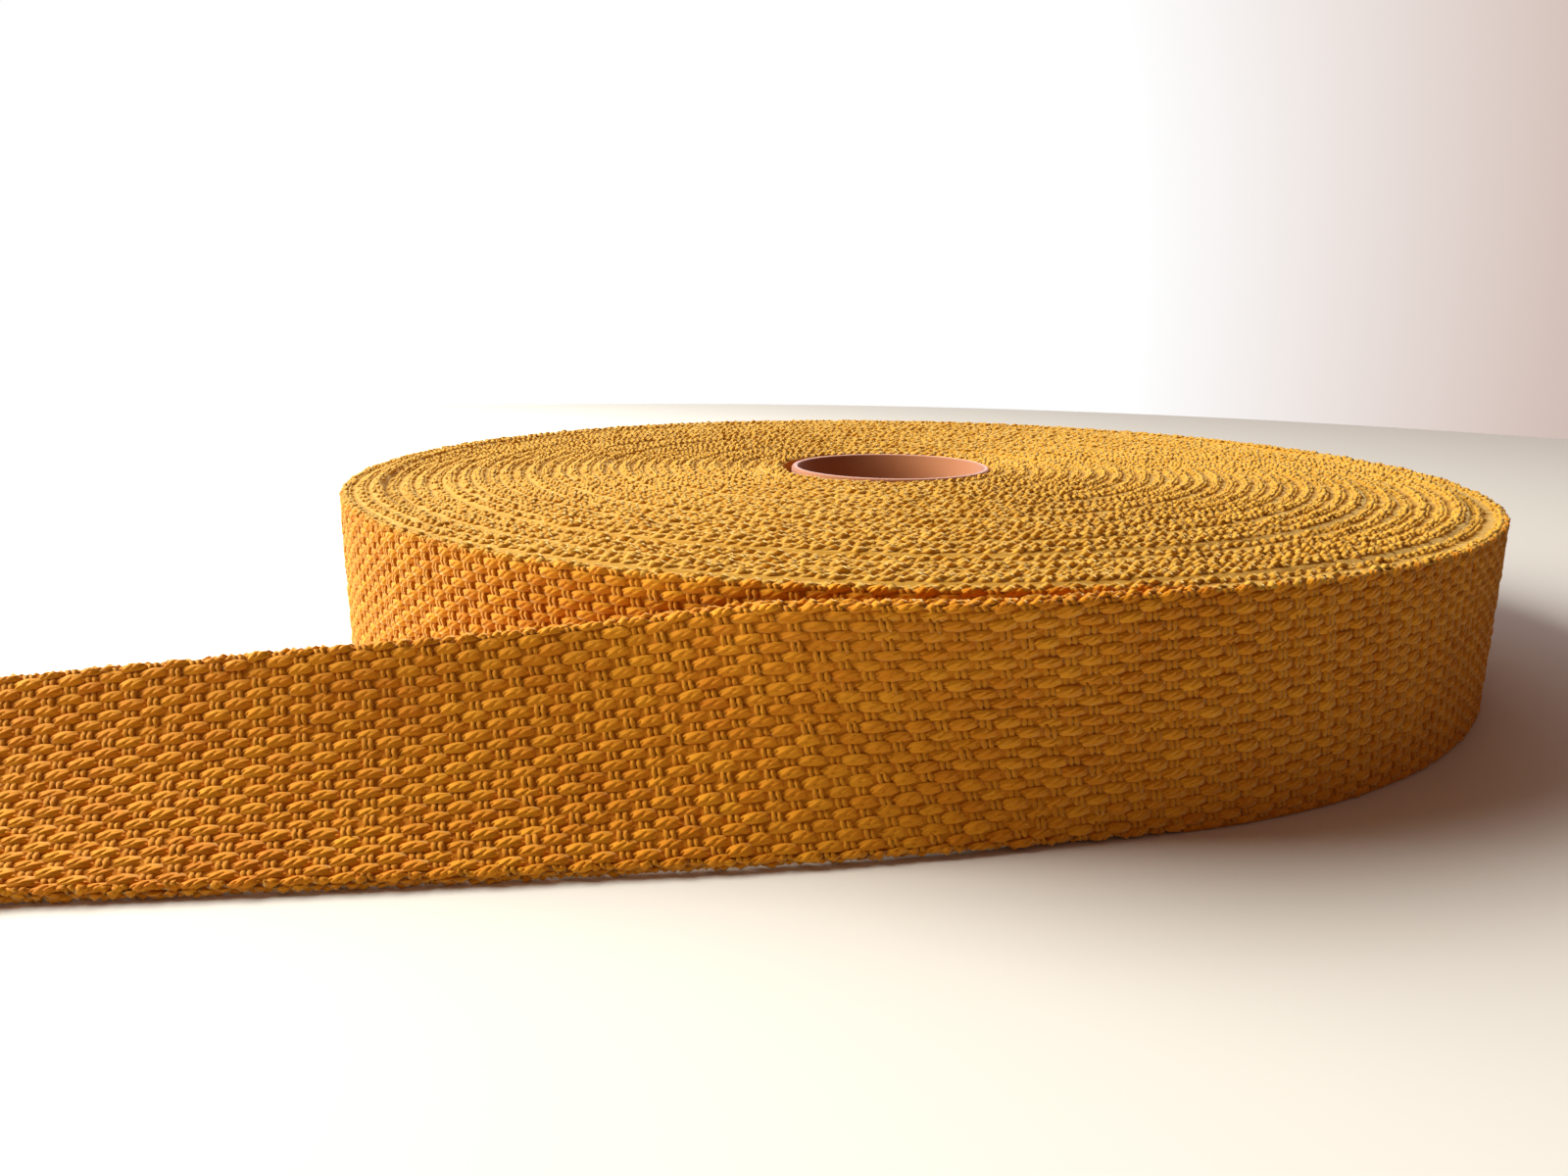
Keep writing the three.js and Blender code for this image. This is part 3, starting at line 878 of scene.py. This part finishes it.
FULL_TURN = 360
RIGHT_END = 95
LEFT_START = 230
HALF_WAY = 13 * FULL_TURN   # parts the selvedges into two pieces of about the same size
roll_yarns = [
    woven("wall_right", warp_cotton, float_yarn, at_turn(0), at_turn(RIGHT_END), seed=12),
    woven("wall_back", warp_cotton, back_float_yarn, at_turn(RIGHT_END), at_turn(LEFT_START), seed=13),
    woven("wall_left", warp_cotton, float_yarn, at_turn(LEFT_START), at_turn(FULL_TURN), seed=14),
    woven("wall_weft", weft_cotton, stitch_yarn, at_turn(0), at_turn(FULL_TURN), seed=15, **WEFT_ROWS),
    # the roll's top selvedges wear the paler cotton, painted light on the top
    woven("outer_selvedges", painted_light_edge_cotton, edge_yarn, at_turn(0), at_turn(HALF_WAY), seed=16,
          centre=EDGE_REACH, **EDGE_ROWS),
    woven("inner_selvedges", painted_light_edge_cotton, edge_yarn, at_turn(HALF_WAY), TAPE_LENGTH, seed=18,
          centre=EDGE_REACH, **EDGE_ROWS),
    woven("wall_low_edge", warp_cotton, edge_yarn, at_turn(0), at_turn(FULL_TURN), seed=17,
          centre=-EDGE_REACH, **EDGE_ROWS),
]

# %% [markdown]
# The core is a thin tube of brown card with soft lips, spiral wound and matt. Only its rim shows
# in the photograph. A cylinder with a Bevel modifier could make it, but the outline of its wall,
# turned round the axis, gives the wall and both lips at once.

# %% Paper core
CORE_TOP = 24.5
LIP_IN = 0.2
LIP_OUT = 0.25
SPOKES = 96
bore = CORE_RADIUS - CORE_WALL
LIPS = [(bore, LIP_OUT), (bore, CORE_TOP - LIP_IN), (bore + LIP_IN, CORE_TOP),
        (CORE_RADIUS - LIP_OUT, CORE_TOP), (CORE_RADIUS, CORE_TOP - LIP_OUT), (CORE_RADIUS, LIP_OUT),
        (CORE_RADIUS - LIP_OUT, FLOOR_GAP), (bore + LIP_IN, FLOOR_GAP)]
tube_points, tube_faces = [], []
for spoke in range(SPOKES):
    angle = 2 * math.pi * spoke / SPOKES
    tube_points += [(AXIS[0] + r * math.sin(angle), AXIS[1] - r * math.cos(angle), z) for r, z in LIPS]
    near = spoke * len(LIPS)
    far = (spoke + 1) % SPOKES * len(LIPS)
    for i in range(len(LIPS)):
        j = (i + 1) % len(LIPS)
        tube_faces.append((near + i, far + i, far + j, near + j))
core_tube = show("paper_core", outward_faces(plain_mesh("paper_core", tube_points, tube_faces)))
core_tube.data.materials.append(new_finish("brown card tube, spiral wound", {
    "Base Color": srgb("A06030"), "Roughness": 0.85, "Sheen Weight": 1.0, "Sheen Roughness": 0.5,
    "Sheen Tint": srgb("F0D4DC")}))
print("core faces:", len(core_tube.data.polygons))

# %% [markdown]
# Each piece now takes its place in the frame. The cloth has no joints, so all of it rides on the
# root body.

# %% Attach the pieces to the frame
for piece in [loose_cloth, *loose_yarns, roll_body, *roll_yarns]:
    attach(piece, "root")
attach(core_tube, "root")
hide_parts("loose_end")
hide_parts("roll")
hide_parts("core")
